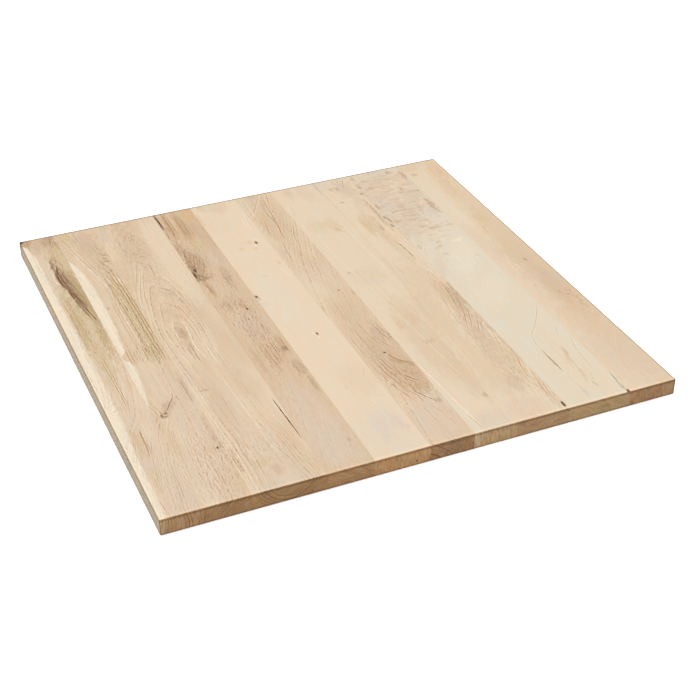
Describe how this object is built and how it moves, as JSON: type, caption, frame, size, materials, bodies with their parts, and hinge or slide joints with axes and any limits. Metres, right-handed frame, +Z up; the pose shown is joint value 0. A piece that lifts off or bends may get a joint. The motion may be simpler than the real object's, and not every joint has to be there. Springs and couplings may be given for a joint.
{
  "type": "solid wood table top",
  "caption": "Square solid oak table top, an edge-glued panel of full-length staves with mixed natural grain and eased edges, lying flat.",
  "frame": {"origin": "centre of the underside", "axes": "+X across the staves from stave 1 to stave 10, +Y along the staves from the front edge to the back edge, +Z up through the thickness"},
  "size_m": [0.8, 0.8, 0.027],
  "materials": {
    "pale_oak": "matte",
    "tan_oak": "matte",
    "brown_oak": "matte"
  },
  "bodies": {
    "root": {"stave_1": "tan_oak", "stave_2": "tan_oak", "stave_3": "tan_oak", "stave_4": "brown_oak", "stave_5": "pale_oak", "stave_6": "brown_oak", "stave_7": "pale_oak", "stave_8": "tan_oak", "stave_9": "pale_oak", "stave_10": "tan_oak"}
  },
  "joints": []
}
